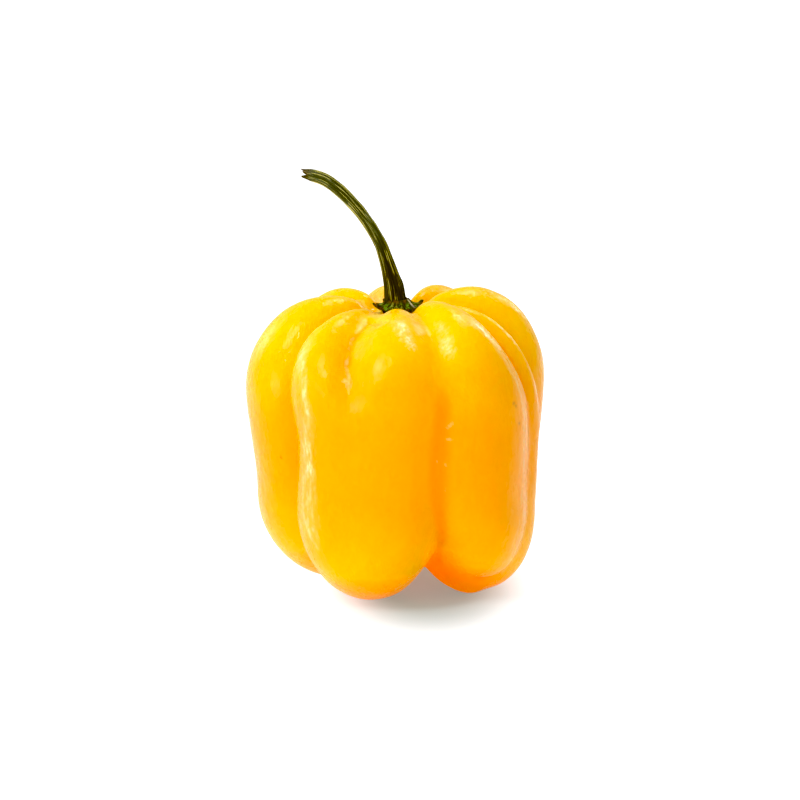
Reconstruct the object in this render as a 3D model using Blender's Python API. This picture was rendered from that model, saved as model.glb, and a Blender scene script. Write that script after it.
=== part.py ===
"""Chilli pepper of the habanero kind: a blocky, deeply lobed fruit that stands on the ends of its lobes, with a small
calyx in the hollow between the shoulders and a thin curved stem.

Metres, +Z up. The origin is on the table, under the middle of the fruit. Bearings are in degrees about +Z, from +X (right)
towards +Y (back), so the front of the fruit is at -90.
"""

import math

import bmesh
import bpy
import numpy as np

MM = 0.001

# Fruit: every reach and height is in millimetres from the origin.
CENTRE_Z = 24.0  # the point the skin is measured out from
SEAT_Z, SEAT_REACH = 45.6, 4.9  # floor of the hollow that holds the calyx, and how far out its wall starts
HOLLOW_Z = 7.5  # roof of the hollow between the feet
CORE_REACH, CORE_TOP, CORE_BOTTOM = 17.0, 46.0, 7.0  # the flesh that fills the creases' bottoms
CREASE_ROUND, FRONT_ROUND, FRONT_CREASE = 0.4, 1.2, -71  # how softly lobes run together; softer at this bearing
SEGMENTS, RINGS = 88, 42

# Latitudes, seen from the centre point, at which each lobe's bearing, width and depth are given.
SHOULDER, WAIST, FOOT = 52, 2, -52
LOBE_DEPTH = (0.33, 0.36, 0.46)  # of a lobe's section, as a share of its reach

# bearing and width (as a share of the reach) at the shoulder, the waist and the foot; then points (out, height) on
# the lobe's ridge: its crown, its side, its hip and its sole. dip is how far the waist draws in.
LOBES = {
    "front_left": dict(
        bearing=(-133, -112, -113), width=(0.31, 0.45, 0.48), dip=0.35,
        crown=(9.5, 47.4), side=(23.6, 34), hip=(23.7, 14.0), sole=(10.6, -0.25),
    ),
    "front_valley": dict(
        bearing=(-114, -108, -108), width=(0.42, 0.40, 0.40), dip=0.0,
        crown=(8.0, 46.6), side=(21.6, 33), hip=(21.5, 14), sole=(11.0, 1.5),
    ),
    "front_mid": dict(
        bearing=(-90, -95, -103), width=(0.40, 0.42, 0.46), dip=0.0,
        crown=(8.5, 47.6), side=(24.0, 32), hip=(23.2, 13.5), sole=(11.0, 0.4),
    ),
    "front_right": dict(
        bearing=(-49, -45, -36), width=(0.34, 0.45, 0.37), dip=0.0,
        crown=(10.0, 48.7), side=(25.0, 33), hip=(24.5, 14), sole=(18.0, 3.5),
    ),
    "right_slim": dict(
        bearing=(-17, -13, -16), width=(0.24, 0.25, 0.40), dip=0.0,
        crown=(9.5, 47.3), side=(24.0, 29), hip=(23.5, 12.5), sole=(15.0, -0.3),
    ),
    "right_foot": dict(
        bearing=(-30, -30, -26), width=(0.30, 0.30, 0.50), dip=0.0,
        crown=(7.0, 46.0), side=(16.0, 22), hip=(17.8, 8.0), sole=(15.0, -0.4),
    ),
    "right": dict(
        bearing=(18, 18, 24), width=(0.36, 0.40, 0.50), dip=0.0,
        crown=(12.5, 49.3), side=(25.4, 34), hip=(23.8, 13), sole=(12.0, 2.6),
    ),
    "back_right": dict(
        bearing=(57, 58, 60), width=(0.32, 0.36, 0.50), dip=0.4,
        crown=(11.5, 48.6), side=(24.6, 33), hip=(23.0, 14), sole=(13.0, 3.0),
    ),
    "back": dict(
        bearing=(98, 98, 100), width=(0.32, 0.36, 0.50), dip=0.4,
        crown=(10.5, 48.4), side=(24.4, 33), hip=(23.2, 13), sole=(13.0, -0.45),
    ),
    "back_left": dict(
        bearing=(136, 134, 132), width=(0.32, 0.36, 0.50), dip=0.4,
        crown=(10.5, 48.5), side=(24.8, 33), hip=(23.4, 13), sole=(13.0, -0.3),
    ),
    "left": dict(
        bearing=(180, 180, 176), width=(0.38, 0.42, 0.46), dip=0.0,
        crown=(11.0, 48.4), side=(25.0, 33), hip=(23.4, 15), sole=(9.5, 0.15),
    ),
}

# Calyx: a thin scalloped plate with a collar round the stem, and short dried points at its rim.
CALYX_X = 0.3  # it sits a little to the right in its hollow
CALYX_RADIUS = 3.7
CALYX_BOTTOM, CALYX_EDGE_TOP, CALYX_COLLAR_TOP = 45.95, 46.5, 47.1
CALYX_COLLAR_RADIUS = 2.0
CALYX_SEGMENTS = 60
CALYX_POINTS = {  # bearing: (length past the rim, rise, half-width in degrees)
    -172: (0.8, 0.8, 16),
    -118: (0.3, 0.3, 17),
    -62: (0.3, 0.2, 17),
    -14: (0.9, 0.8, 15),
    32: (0.7, 0.6, 16),
    88: (0.5, 0.5, 17),
    140: (0.6, 0.6, 16),
}

# Stem: points on its centre line (x, y, height, radius) from the calyx to the dried tip, and its ribbed section.
STEM_LINE = (
    (-0.22, 0.0, 47.4, 1.80),
    (-0.50, 0.1, 49.6, 1.66),
    (-1.05, 0.2, 51.9, 1.40),
    (-1.75, 0.2, 54.2, 1.16),
    (-2.65, 0.1, 56.8, 1.04),
    (-3.95, 0.0, 59.3, 0.98),
    (-5.60, 0.0, 61.7, 0.96),
    (-7.40, 0.0, 63.8, 0.97),
    (-9.40, 0.0, 65.8, 1.00),
    (-11.60, 0.1, 67.4, 1.00),
    (-13.80, 0.2, 68.2, 0.90),
    (-15.50, 0.3, 68.55, 0.60),
)
STEM_RIBS, STEM_RIB_DEPTH, STEM_SECTION_POINTS = 5, 0.07, 20

COLOURS = {  # linear colour, roughness
    "fruit": ((0.95, 0.42, 0.01), 0.28),
    "calyx": ((0.09, 0.13, 0.02), 0.60),
    "stem": ((0.10, 0.12, 0.015), 0.65),
}


def clear_scene():
    for obj in list(bpy.data.objects):
        bpy.data.objects.remove(obj)


def ease(t):
    t = np.clip(t, 0, 1)
    return t * t * (3 - 2 * t)


def along(values, latitude):
    """A value given at the shoulder, the waist and the foot, eased between them."""
    shoulder, waist, foot = values
    top, middle, low = (math.radians(v) for v in (SHOULDER, WAIST, FOOT))
    down = ease((top - latitude) / (top - middle))
    further = ease((middle - latitude) / (middle - low))
    return shoulder + (waist - shoulder) * down + (foot - waist) * further


def ridge(lobe, steps=24):
    """The lobe's ridge line, from the middle of the calyx seat to the roof of the hollow below: columns out, height."""
    (crown_out, crown_z), (side_out, side_z) = lobe["crown"], lobe["side"]
    (hip_out, hip_z), (sole_out, sole_z) = lobe["hip"], lobe["sole"]
    u = np.linspace(0, 1, steps)
    turn = u * math.pi / 2
    stretches = (
        (u * SEAT_REACH, SEAT_Z + 0 * u),
        (crown_out - (crown_out - SEAT_REACH) * np.cos(turn), SEAT_Z + (crown_z - SEAT_Z) * np.sin(turn)),
        (crown_out + (side_out - crown_out) * np.sin(turn), side_z + (crown_z - side_z) * np.cos(turn)),
        (side_out + (hip_out - side_out) * ease(u) - lobe["dip"] * np.sin(math.pi * u) ** 2, side_z + (hip_z - side_z) * u),
        (sole_out + (hip_out - sole_out) * np.cos(turn), hip_z - (hip_z - sole_z) * np.sin(turn)),
        (sole_out * (1 - u), sole_z + (HOLLOW_Z - sole_z) * ease(u)),
    )
    return np.vstack([np.column_stack(s)[:-1] for s in stretches[:-1]] + [np.column_stack(stretches[-1])])


def oval(off_ridge, depth, width):
    """The reach of an oval section at an angle off its ridge, as a share of the ridge's reach; 0 past its edge."""
    c, s = np.cos(off_ridge), np.sin(off_ridge)
    a = (c / depth) ** 2 + (s / width) ** 2
    b = c * (1 - depth) / depth**2
    root = b * b - a * ((1 - depth) ** 2 / depth**2 - 1)
    return np.where((root > 0) & (c > 0), (b + np.sqrt(np.maximum(root, 0))) / a, 0.0)


def lobe_reach(lobe, bearing, latitude):
    line = ridge(lobe)
    line_latitude = np.arctan2(line[:, 1] - CENTRE_Z, line[:, 0])
    line_reach = np.hypot(line[:, 1] - CENTRE_Z, line[:, 0])
    reach = np.interp(-latitude, -line_latitude, line_reach)
    off_ridge = bearing - np.radians(along(lobe["bearing"], latitude))
    off_ridge = (off_ridge + math.pi) % (2 * math.pi) - math.pi
    return reach * oval(off_ridge, along(LOBE_DEPTH, latitude), along(lobe["width"], latitude))


def core_reach(latitude):
    upright = np.where(latitude > 0, CORE_TOP - CENTRE_Z, CENTRE_Z - CORE_BOTTOM)
    return 1 / np.sqrt((np.cos(latitude) / CORE_REACH) ** 2 + (np.sin(latitude) / upright) ** 2)


def floor_and_roof(latitude):
    """The reach of the level floor of the calyx seat and of the roof of the hollow below, and how far each takes over."""
    upright = np.where(latitude > 0, SEAT_Z - CENTRE_Z, CENTRE_Z - HOLLOW_Z)
    reach = upright / np.maximum(np.abs(np.sin(latitude)), 0.3)
    seat = math.atan2(SEAT_Z - CENTRE_Z, SEAT_REACH)
    above = ease((latitude - seat) / math.radians(4) + 0.5)
    below = ease((-latitude - math.radians(66)) / math.radians(20))
    return reach, np.maximum(above, below)


def skin(directions):
    """Points on the skin, in millimetres, in these directions from the centre point."""
    bearing = np.arctan2(directions[:, 1], directions[:, 0])
    latitude = np.arcsin(np.clip(directions[:, 2], -1, 1))
    reaches = np.array([lobe_reach(lobe, bearing, latitude) for lobe in LOBES.values()] + [core_reach(latitude)])
    most = reaches.max(0)
    off_crease = (np.degrees(bearing) - FRONT_CREASE + 180) % 360 - 180
    soft = CREASE_ROUND + (FRONT_ROUND - CREASE_ROUND) * np.exp(-((off_crease / 16) ** 2))
    reach = most + soft * np.log(np.exp((reaches - most) / soft).sum(0))
    level, taken = floor_and_roof(latitude)
    reach = reach * (1 - taken) + level * taken
    return np.array([0, 0, CENTRE_Z]) + directions * reach[:, None]


def press_feet_flat(bm):
    """Cuts the soles that reach below the table level with it, so that the fruit stands on flat patches."""
    cut = bmesh.ops.bisect_plane(
        bm, geom=bm.verts[:] + bm.edges[:] + bm.faces[:], dist=1e-7,
        plane_co=(0, 0, 0), plane_no=(0, 0, 1), clear_inner=True,
    )
    rims = [item for item in cut["geom_cut"] if isinstance(item, bmesh.types.BMEdge)]
    bmesh.ops.edgeloop_fill(bm, edges=rims)
    bmesh.ops.recalc_face_normals(bm, faces=bm.faces)


def new_object(name, bm, collection, parent):
    mesh = bpy.data.meshes.new(name)
    bm.to_mesh(mesh)
    bm.free()
    mesh.shade_smooth()
    mesh.set_sharp_from_angle(angle=math.radians(50))
    obj = bpy.data.objects.new(name, mesh)
    collection.objects.link(obj)
    obj.parent = parent
    return obj


def make_fruit(collection, parent):
    bm = bmesh.new()
    bmesh.ops.create_uvsphere(bm, u_segments=SEGMENTS, v_segments=RINGS, radius=1.0)
    directions = np.array([v.co.normalized() for v in bm.verts])
    for vert, point in zip(bm.verts, skin(directions)):
        vert.co = point * MM
    press_feet_flat(bm)
    return new_object("fruit", bm, collection, parent)


def calyx_rim(bearing):
    """How far past the plate's radius the rim reaches at this bearing, and how far it rises."""
    past = rise = 0.0
    for middle, (length, lift, half_width) in CALYX_POINTS.items():
        off = abs((bearing - middle + 180) % 360 - 180) / half_width
        if off < 1:
            past, rise = length * (1 - off) ** 1.3, lift * (1 - off) ** 1.3
    return past, rise


def make_calyx(collection, parent):
    """A low drum whose rim is drawn out into points, with a collar raised from the middle of its top."""
    bm = bmesh.new()
    drum = bmesh.ops.create_cone(
        bm, cap_ends=True, segments=CALYX_SEGMENTS, radius1=CALYX_RADIUS * MM, radius2=CALYX_RADIUS * MM,
        depth=(CALYX_EDGE_TOP - CALYX_BOTTOM) * MM,
    )
    bmesh.ops.translate(bm, verts=drum["verts"], vec=(0, 0, (CALYX_BOTTOM + CALYX_EDGE_TOP) / 2 * MM))
    for vert in drum["verts"]:
        past, rise = calyx_rim(math.degrees(math.atan2(vert.co.y, vert.co.x)))
        grow = 1 + past / CALYX_RADIUS
        vert.co = (vert.co.x * grow, vert.co.y * grow, vert.co.z + rise * MM)
    top = [face for face in bm.faces if face.normal.z > 0.5]
    bmesh.ops.inset_region(bm, faces=top, thickness=1 * MM, use_even_offset=False)
    collar = {vert for face in top for vert in face.verts}
    for vert in collar:
        bearing = math.atan2(vert.co.y, vert.co.x)
        vert.co = (
            CALYX_COLLAR_RADIUS * MM * math.cos(bearing), CALYX_COLLAR_RADIUS * MM * math.sin(bearing),
            CALYX_COLLAR_TOP * MM,
        )
    under = [face for face in bm.faces if face.normal.z < -0.5]
    bmesh.ops.inset_region(bm, faces=under, thickness=0.8 * MM, use_even_offset=False)
    for vert in {vert for face in under for vert in face.verts}:
        bearing = math.atan2(vert.co.y, vert.co.x)
        reach = (CALYX_RADIUS - 0.6) * MM
        vert.co = (reach * math.cos(bearing), reach * math.sin(bearing), CALYX_BOTTOM * MM)
    calyx = new_object("calyx", bm, collection, parent)
    calyx.location.x = CALYX_X * MM
    return calyx


def stem_section(collection, parent):
    """The stem's outline across its length, 1 m in radius, with shallow grooves between its ribs."""
    curve = bpy.data.curves.new("stem_section", "CURVE")
    curve.dimensions = "2D"
    spline = curve.splines.new("POLY")
    spline.points.add(STEM_SECTION_POINTS - 1)
    for number, point in enumerate(spline.points):
        turn = -2 * math.pi * number / STEM_SECTION_POINTS
        reach = MM * (1 - STEM_RIB_DEPTH + STEM_RIB_DEPTH * math.cos(STEM_RIBS * turn))
        point.co = (reach * math.cos(turn), reach * math.sin(turn), 0, 1)
    spline.use_cyclic_u = True
    guide = bpy.data.objects.new("stem_section", curve)
    collection.objects.link(guide)
    guide.parent = parent
    guide.hide_render = True
    guide.display_type = "WIRE"
    return guide


def make_stem(collection, parent, section):
    curve = bpy.data.curves.new("stem", "CURVE")
    curve.dimensions = "3D"
    curve.resolution_u = 5
    curve.bevel_mode = "OBJECT"
    curve.bevel_object = section
    curve.use_fill_caps = True
    spline = curve.splines.new("BEZIER")
    spline.bezier_points.add(len(STEM_LINE) - 1)
    for point, (x, y, z, radius) in zip(spline.bezier_points, STEM_LINE):
        point.co = (x * MM, y * MM, z * MM)
        point.radius = radius
        point.handle_left_type = point.handle_right_type = "AUTO"
    obj = bpy.data.objects.new("stem", curve)
    collection.objects.link(obj)
    obj.parent = parent
    return obj


def give_material(obj):
    colour, roughness = COLOURS[obj.name]
    material = bpy.data.materials.new(obj.name)
    material.use_nodes = True
    shader = material.node_tree.nodes["Principled BSDF"]
    shader.inputs["Base Color"].default_value = (*colour, 1)
    shader.inputs["Roughness"].default_value = roughness
    shader.inputs["Metallic"].default_value = 0.0
    obj.data.materials.append(material)


def main():
    clear_scene()
    pepper = bpy.data.collections.new("chilli_pepper")
    guides = bpy.data.collections.new("chilli_pepper_guides")
    bpy.context.scene.collection.children.link(pepper)
    bpy.context.scene.collection.children.link(guides)
    root = bpy.data.objects.new("chilli_pepper_root", None)
    root.empty_display_size = 0.02
    pepper.objects.link(root)
    section = stem_section(guides, root)
    for obj in (make_fruit(pepper, root), make_calyx(pepper, root), make_stem(pepper, root, section)):
        give_material(obj)


main()
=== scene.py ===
"""Chilli pepper of the habanero kind: the looks of its fruit, calyx and stem, on a table in studio light.

Metres, +Z up. Tables of shape are in millimetres. Bearings are in degrees about +Z, from +X (right) towards
+Y (back), so the front of the fruit is at -90.
"""

import math

import bmesh
import bpy
import numpy as np
from bpy.props import FloatProperty, FloatVectorProperty, IntProperty, PointerProperty
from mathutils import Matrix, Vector, noise
from mathutils.bvhtree import BVHTree


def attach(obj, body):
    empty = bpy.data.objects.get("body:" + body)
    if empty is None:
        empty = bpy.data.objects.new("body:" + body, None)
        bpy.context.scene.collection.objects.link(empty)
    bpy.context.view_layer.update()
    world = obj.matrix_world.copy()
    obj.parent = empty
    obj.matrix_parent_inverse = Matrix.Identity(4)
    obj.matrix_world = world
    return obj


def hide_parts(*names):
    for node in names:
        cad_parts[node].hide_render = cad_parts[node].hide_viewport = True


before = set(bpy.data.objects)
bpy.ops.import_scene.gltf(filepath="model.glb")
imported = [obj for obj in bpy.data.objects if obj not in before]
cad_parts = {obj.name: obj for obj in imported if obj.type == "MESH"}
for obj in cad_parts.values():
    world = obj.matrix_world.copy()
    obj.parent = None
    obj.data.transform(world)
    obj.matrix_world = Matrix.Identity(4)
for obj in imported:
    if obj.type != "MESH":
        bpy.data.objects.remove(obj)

bl_info = {
    "name": "Chilli Pepper",
    "version": (1, 0, 0),
    "blender": (4, 5, 0),
    "location": "View3D > Sidebar > Chilli",
    "description": "Builds a lobed yellow chilli pepper with its calyx and stem, on a studio table",
    "category": "Add Mesh",
}

MM = 0.001

# ---------------------------------------------------------------- the fruit, in millimetres and degrees
CENTRE_Z = 24.0  # the point the skin is measured out from
SEAT_Z, SEAT_REACH = 45.6, 4.9  # floor of the hollow that holds the calyx, and how far out its wall starts
HOLLOW_Z = 7.5  # roof of the hollow between the feet
CORE_REACH, CORE_TOP, CORE_BOTTOM = 17.0, 46.0, 7.0  # the flesh that fills the creases' bottoms
CREASE_ROUND, FRONT_ROUND = 0.4, 1.2  # how softly lobes run together, and how softly at the front crease
FRONT_CREASE, FRONT_SPREAD = -71, 16  # its bearing, and how far round the softness spreads
SHOULDER, WAIST, FOOT = 52, 2, -52  # latitudes at which each lobe's bearing, width and depth are given
LOBE_DEPTH = (0.33, 0.36, 0.46)  # of a lobe's section, as a share of its reach

# bearing and width (as a share of the reach) at the shoulder, the waist and the foot; then points (out,
# height) on the lobe's ridge: its crown, its side, its hip and its sole. dip is how far the waist draws in.
LOBES = {
    "front_left": dict(
        bearing=(-133, -112, -113), width=(0.31, 0.45, 0.48), dip=0.35,
        crown=(9.5, 47.4), side=(23.6, 34), hip=(23.7, 14.0), sole=(10.6, -0.25),
    ),
    "front_valley": dict(
        bearing=(-114, -108, -108), width=(0.42, 0.40, 0.40), dip=0.0,
        crown=(8.0, 46.6), side=(21.6, 33), hip=(21.5, 14), sole=(11.0, 1.5),
    ),
    "front_mid": dict(
        bearing=(-90, -95, -103), width=(0.40, 0.42, 0.46), dip=0.0,
        crown=(8.5, 47.6), side=(24.0, 32), hip=(23.2, 13.5), sole=(11.0, 0.4),
    ),
    "front_right": dict(
        bearing=(-49, -45, -36), width=(0.34, 0.45, 0.37), dip=0.0,
        crown=(10.0, 48.7), side=(25.0, 33), hip=(24.5, 14), sole=(18.0, 3.5),
    ),
    "right_slim": dict(
        bearing=(-17, -13, -16), width=(0.24, 0.25, 0.40), dip=0.0,
        crown=(9.5, 47.3), side=(24.0, 29), hip=(23.5, 12.5), sole=(15.0, -0.3),
    ),
    "right_foot": dict(
        bearing=(-30, -30, -26), width=(0.30, 0.30, 0.50), dip=0.0,
        crown=(7.0, 46.0), side=(16.0, 22), hip=(17.8, 8.0), sole=(15.0, -0.4),
    ),
    "right": dict(
        bearing=(18, 18, 24), width=(0.36, 0.40, 0.50), dip=0.0,
        crown=(12.5, 49.3), side=(25.4, 34), hip=(23.8, 13), sole=(12.0, 2.6),
    ),
    "back_right": dict(
        bearing=(57, 58, 60), width=(0.32, 0.36, 0.50), dip=0.4,
        crown=(11.5, 48.6), side=(24.6, 33), hip=(23.0, 14), sole=(13.0, 3.0),
    ),
    "back": dict(
        bearing=(98, 98, 100), width=(0.32, 0.36, 0.50), dip=0.4,
        crown=(10.5, 48.4), side=(24.4, 33), hip=(23.2, 13), sole=(13.0, -0.45),
    ),
    "back_left": dict(
        bearing=(136, 134, 132), width=(0.32, 0.36, 0.50), dip=0.4,
        crown=(10.5, 48.5), side=(24.8, 33), hip=(23.4, 13), sole=(13.0, -0.3),
    ),
    "left": dict(
        bearing=(180, 180, 176), width=(0.38, 0.42, 0.46), dip=0.0,
        crown=(11.0, 48.4), side=(25.0, 33), hip=(23.4, 15), sole=(9.5, 0.15),
    ),
}

# Marks on the front of the skin: from (x, height) to (x, height), half-width, strength or depth.
PALE_MARKS = (  # scars beside the front crease
    ((7.8, 30.9), (8.9, 31.7), 0.15, 0.55),
    ((8.0, 29.1), (8.7, 29.0), 0.20, 0.40),
    ((7.7, 25.1), (7.9, 24.8), 0.20, 0.50),
    ((6.4, 25.5), (6.4, 25.4), 0.14, 0.40),
    ((7.6, 21.0), (7.7, 20.5), 0.14, 0.30),
)
PAINTED_HIGHLIGHT_STREAKS = (  # painted highlights: pale streaks on the front left lobe's flank, in the dip beside it and on the shoulders
    ((-15.2, 41.0), (-14.6, 35.7), 0.80, 0.9),
    ((-14.6, 35.7), (-14.1, 32.0), 0.75, 0.9),
    ((-14.1, 32.0), (-14.4, 26.6), 0.95, 0.9),
    ((-14.4, 26.6), (-14.0, 22.5), 1.15, 0.9),
    ((-14.0, 22.5), (-13.6, 13.0), 1.40, 0.5),
    ((-5.6, 45.5), (-5.9, 45.1), 0.30, 0.5),
    ((-7.3, 43.2), (-7.6, 42.5), 0.30, 0.5),
    ((-7.9, 41.2), (-8.1, 38.8), 0.30, 0.4),
    ((-8.1, 38.2), (-7.7, 37.6), 0.60, 0.8),
    ((-5.4, 38.1), (-5.3, 37.7), 0.35, 0.4),
    ((0.2, 46.6), (2.5, 43.3), 0.90, 1.0),
    ((6.9, 45.6), (8.3, 42.4), 1.00, 0.6),
    ((10.6, 47.2), (12.8, 45.6), 0.90, 0.6),
)
GROOVES = (  # the shallow crease down from the calyx, between the front left lobe and its neighbour, also darkened with painted shade
    ((-3.2, 47.0), (-5.2, 45.9), 1.0, 0.55),
    ((-5.2, 45.9), (-6.8, 44.2), 1.1, 0.60),
    ((-6.8, 44.2), (-7.5, 42.6), 1.2, 0.55),
    ((-7.5, 42.6), (-8.0, 40.6), 1.3, 0.45),
    ((-8.0, 40.6), (-8.1, 37.5), 1.5, 0.30),
    ((-8.1, 37.5), (-8.2, 32.0), 1.7, 0.12),
)
RIM_REFLECTION_LINES = (  # painted reflections: fine pale lines where two lobes meet, along the edges that turn away from the front
    ((12.1, 46.4), (14.5, 44.5), 0.30, 0.6),
    ((14.5, 44.5), (17.3, 40.4), 0.34, 0.7),
    ((17.3, 40.4), (19.0, 37.3), 0.34, 0.7),
    ((19.0, 37.3), (20.1, 34.2), 0.34, 0.7),
    ((20.1, 34.2), (20.5, 30.8), 0.34, 0.7),
    ((20.5, 30.8), (20.5, 22.1), 0.30, 0.6),
    ((20.5, 22.1), (20.1, 16.1), 0.28, 0.4),
    ((20.0, 13.8), (18.5, 8.9), 0.24, 0.4),
    ((19.6, 10.8), (18.1, 6.6), 0.24, 0.3),
    ((-15.0, 21.9), (-15.2, 17.8), 0.30, 0.5),
    ((-15.2, 17.8), (-15.1, 15.7), 0.34, 0.6),
    ((-15.1, 15.7), (-13.7, 12.0), 0.34, 0.6),
    ((-13.7, 12.0), (-12.6, 10.6), 0.26, 0.4),
)
BROWN_SPECKS = (  # scabs on the sides
    ((18.6, 33.8), (18.6, 33.8), 0.26, 0.7),
    ((19.0, 33.2), (19.0, 33.2), 0.24, 0.6),
    ((19.6, 30.3), (19.6, 30.3), 0.24, 0.6),
    ((-18.9, 23.2), (-18.9, 23.2), 0.22, 0.7),
)

# ---------------------------------------------------------------- shape of the calyx and the stem
CALYX_X, CALYX_REACH, CALYX_RIM = 0.3, 3.6, 46.55  # the collar's middle, its reach and its rim's height
CALYX_STEPS = 288  # points round the collar
SCAR_BEARING, SCAR_WIDTH = 325, 3.2  # the pale dry line on the collar, in degrees
CALYX_POINTS = {  # bearing: (length past the rim, rise, half-width in degrees)
    -172: (0.9, 0.6, 24),
    -122: (1.0, -0.7, 26),
    -58: (0.9, -0.7, 20),
    -10: (1.5, 0.0, 14),
    16: (0.6, 0.8, 16),
    52: (0.4, 0.0, 17),
    98: (0.5, 0.2, 17),
    142: (0.4, -0.1, 15),
}

STEM_STEPS, STEM_RINGS = 168, 14  # points round the stem, and rings from each row below to the next
STEM_LINE = (  # x, y, height, radius
    (-0.10, 0.0, 46.3, 2.10),
    (-0.22, 0.0, 47.4, 1.85),
    (-0.50, 0.1, 49.6, 1.66),
    (-1.05, 0.2, 51.9, 1.40),
    (-1.75, 0.2, 54.2, 1.16),
    (-2.65, 0.1, 56.8, 1.04),
    (-3.95, 0.0, 59.3, 0.98),
    (-5.60, 0.0, 61.7, 0.96),
    (-7.40, 0.0, 63.8, 0.97),
    (-9.40, 0.0, 65.8, 1.00),
    (-11.60, 0.1, 67.4, 1.00),
    (-13.80, 0.2, 68.2, 0.92),
    (-15.30, 0.3, 68.5, 0.68),
)
STALK_LAYERS = ("dry", "worn", "dark", "light", "edge")  # what the stem's and the calyx's points carry

# ---------------------------------------------------------------- colours that go with the settings below
# The first cream goes on the pale scars and on the painted highlights.
SCAR_AND_HIGHLIGHT_CREAM, SCAB, SPECK = (1.0, 0.82, 0.42), (0.16, 0.05, 0.01), (0.22, 0.08, 0.01)
# Cream for the painted rim reflections.
RIM_REFLECTION_CREAM = (1.0, 0.82, 0.48)
DRY_LEAF, LEAF_SPOT, RUST = (0.055, 0.030, 0.006), (0.14, 0.25, 0.04), (0.15, 0.055, 0.02)
BARK_DARK, BARK_LIGHT = (0.035, 0.018, 0.008), (0.17, 0.115, 0.07)

# ---------------------------------------------------------------- the studio
LIGHTS = {  # bearing, elevation, width and length in metres, power as a share of the setting Light power
    "key": (-136, 51, 0.08, 0.34, 0.75),
    "left_strip": (150, 30, 0.045, 0.40, 0.18),
    "top": (70, 70, 0.10, 0.22, 0.50),
    "right_strip": (57, 28, 0.03, 0.40, 0.24),
    "low_left": (-145, 12, 0.3, 0.2, 0.44),
    "low_front": (-85, 8, 1.0, 0.3, 0.45),
    "back_left": (138, 15, 0.10, 0.25, 0.12),
}
LIGHT_DISTANCE, LIGHTS_AIM = 0.7, Vector((0, 0, 0.03))
SURROUNDINGS = (  # axis, from here to there along it, and the light at those two places; the rows add up
    ("Y", -0.5, 0.2, 0.38, 0.80),
    ("X", 0.0, -0.8, 0.0, 0.40),
    ("X", 0.1, 0.8, 0.0, -0.10),
)
TABLE_HALF_WIDTH, TABLE_WHITE = 9, (0.95, 0.95, 0.95)
PAINTED_SHADOW_MIDDLE = Vector((5, -6, 0))  # of the painted shadow, the dim part of the table's glow, in millimetres
CAMERA_TARGET = Vector((0.5, 0, 30.8))  # in millimetres
BLACK_LEVEL = (0.005, 0.005, 0.04)

# ---------------------------------------------------------------- the numbers a user would change


class ChilliFruitSettings(bpy.types.PropertyGroup):
    shoulder_colour: FloatVectorProperty(
        name="Shoulder yellow", description="Skin colour on the shoulders and crests", subtype="COLOR",
        size=3, min=0, max=1, default=(0.97, 0.52, 0.0),
    )
    side_colour: FloatVectorProperty(
        name="Side orange", description="Skin colour on the sides", subtype="COLOR",
        size=3, min=0, max=1, default=(0.97, 0.335, 0.0),
    )
    hip_colour: FloatVectorProperty(
        name="Hip yellow", description="Skin colour low on the swellings", subtype="COLOR",
        size=3, min=0, max=1, default=(0.97, 0.45, 0.0),
    )
    # Painted shade: the deeper orange of the creases, the hidden undersides of the feet and the right foot.
    painted_shade_orange: FloatVectorProperty(
        name="Foot orange", description="Skin colour under the feet and in the creases", subtype="COLOR",
        size=3, min=0, max=1, default=(1.0, 0.19, 0.0),
    )
    # Painted glow: an emission low on the fruit where it is hidden from the sky, standing in for light through
    # the flesh.
    painted_glow_colour: FloatVectorProperty(
        name="Light through the flesh", description="Glow of the flesh at the feet and low in the creases",
        subtype="COLOR", size=3, min=0, max=1, default=(0.31, 0.058, 0.0),
    )
    gloss: FloatProperty(
        name="Roughness", description="Roughness of the waxy skin", subtype="FACTOR", min=0, max=1,
        default=0.26,
    )
    glow: FloatProperty(
        name="Flesh glow", description="How much light goes through the skin into the flesh",
        subtype="FACTOR", min=0, max=1, default=0.45,
    )
    glow_depth: FloatProperty(
        name="Glow depth", description="How far light spreads in the flesh", unit="LENGTH", min=0, max=0.02,
        default=0.005,
    )
    cuts: IntProperty(
        name="Mesh cuts", description="Cuts along each side of the cube that the skin is shaped from",
        min=8, max=124, default=118,
    )


class ChilliStemSettings(bpy.types.PropertyGroup):
    green: FloatVectorProperty(
        name="Stem green", description="Colour of the stem's sides", subtype="COLOR",
        size=3, min=0, max=1, default=(0.088, 0.102, 0.055),
    )
    ridge: FloatVectorProperty(
        name="Ridge yellow", description="Colour of the lines along the stem's ridges", subtype="COLOR",
        size=3, min=0, max=1, default=(0.58, 0.52, 0.14),
    )
    calyx_green: FloatVectorProperty(
        name="Calyx green", description="Colour of the calyx between its folds", subtype="COLOR",
        size=3, min=0, max=1, default=(0.06, 0.13, 0.008),
    )
    scar: FloatVectorProperty(
        name="Calyx scar", description="Colour of the pale dry line on the calyx", subtype="COLOR",
        size=3, min=0, max=1, default=(0.66, 0.57, 0.34),
    )
    dried: FloatVectorProperty(
        name="Dried brown", description="Colour of the furrows and the dried patches", subtype="COLOR",
        size=3, min=0, max=1, default=(0.015, 0.008, 0.005),
    )
    ribs: IntProperty(name="Ribs", description="Main ribs round the stem", min=3, max=12, default=6)


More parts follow.
